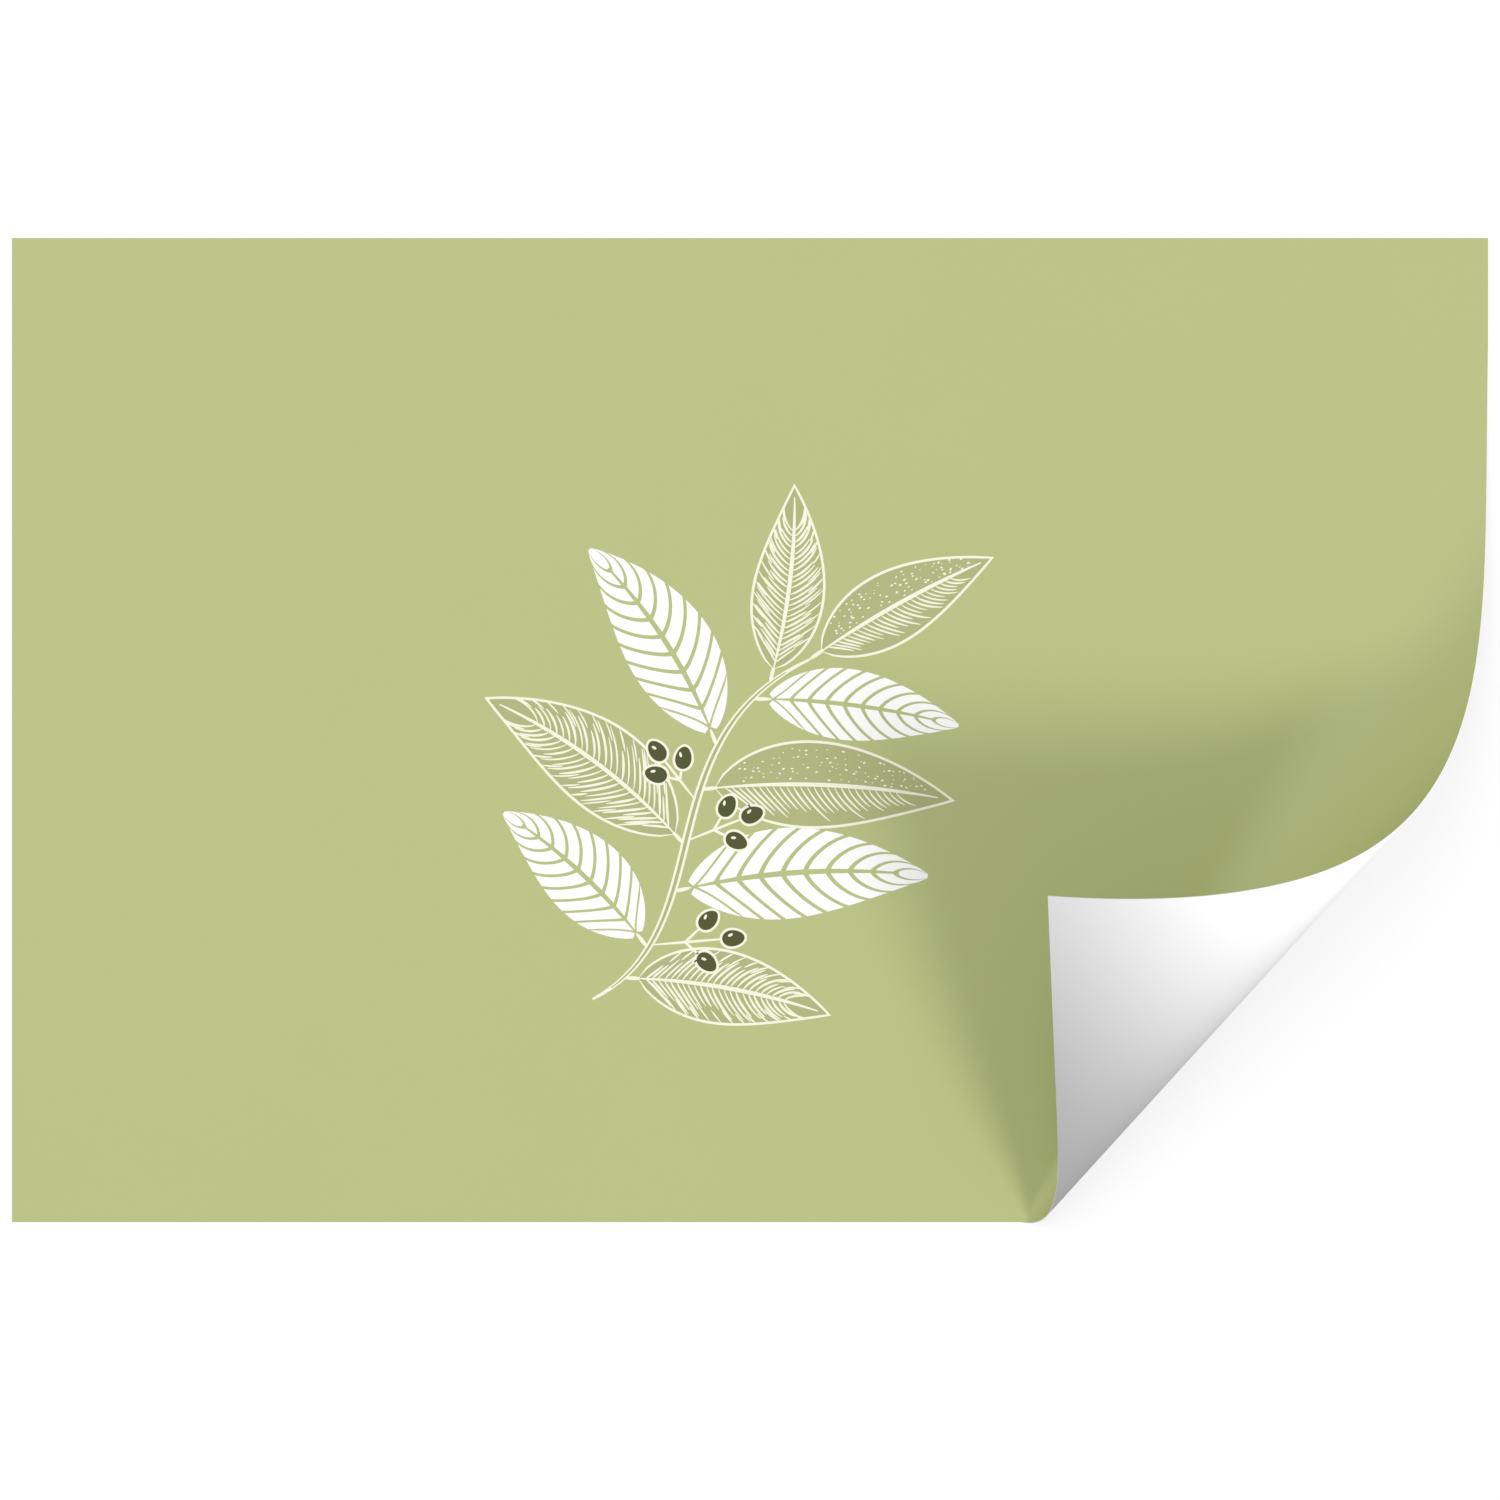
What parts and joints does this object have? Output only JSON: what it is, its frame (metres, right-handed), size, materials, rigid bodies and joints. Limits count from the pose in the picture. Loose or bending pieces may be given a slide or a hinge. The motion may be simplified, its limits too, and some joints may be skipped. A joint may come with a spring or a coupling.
{
  "type": "wall sticker",
  "caption": "Rectangular self-adhesive wall sticker with a line-art print on sage green film, one lower corner curled up to show the white liner.",
  "frame": {"origin": "middle of the 600 x 400 mm sheet, on the surface that the liner's back lies on", "axes": "+X to the right along the long side, +Y to the top of the picture, +Z out of the printed face"},
  "size_m": [0.6, 0.4002, 0.1115],
  "materials": {
    "film_sage_green": "matt printed vinyl film, sage green",
    "adhesive_clear": "clear acrylic pressure-sensitive adhesive",
    "liner_white": "white silicone-coated kraft paper, smooth",
    "print_white": "matt white print",
    "print_cream": "matt cream print",
    "print_mid_green": "matt mid green print",
    "print_dark_olive": "matt dark olive print"
  },
  "bodies": {
    "root": {"printed_film": "film_sage_green", "adhesive_layer": "adhesive_clear", "release_liner": "liner_white"}
  },
  "joints": []
}
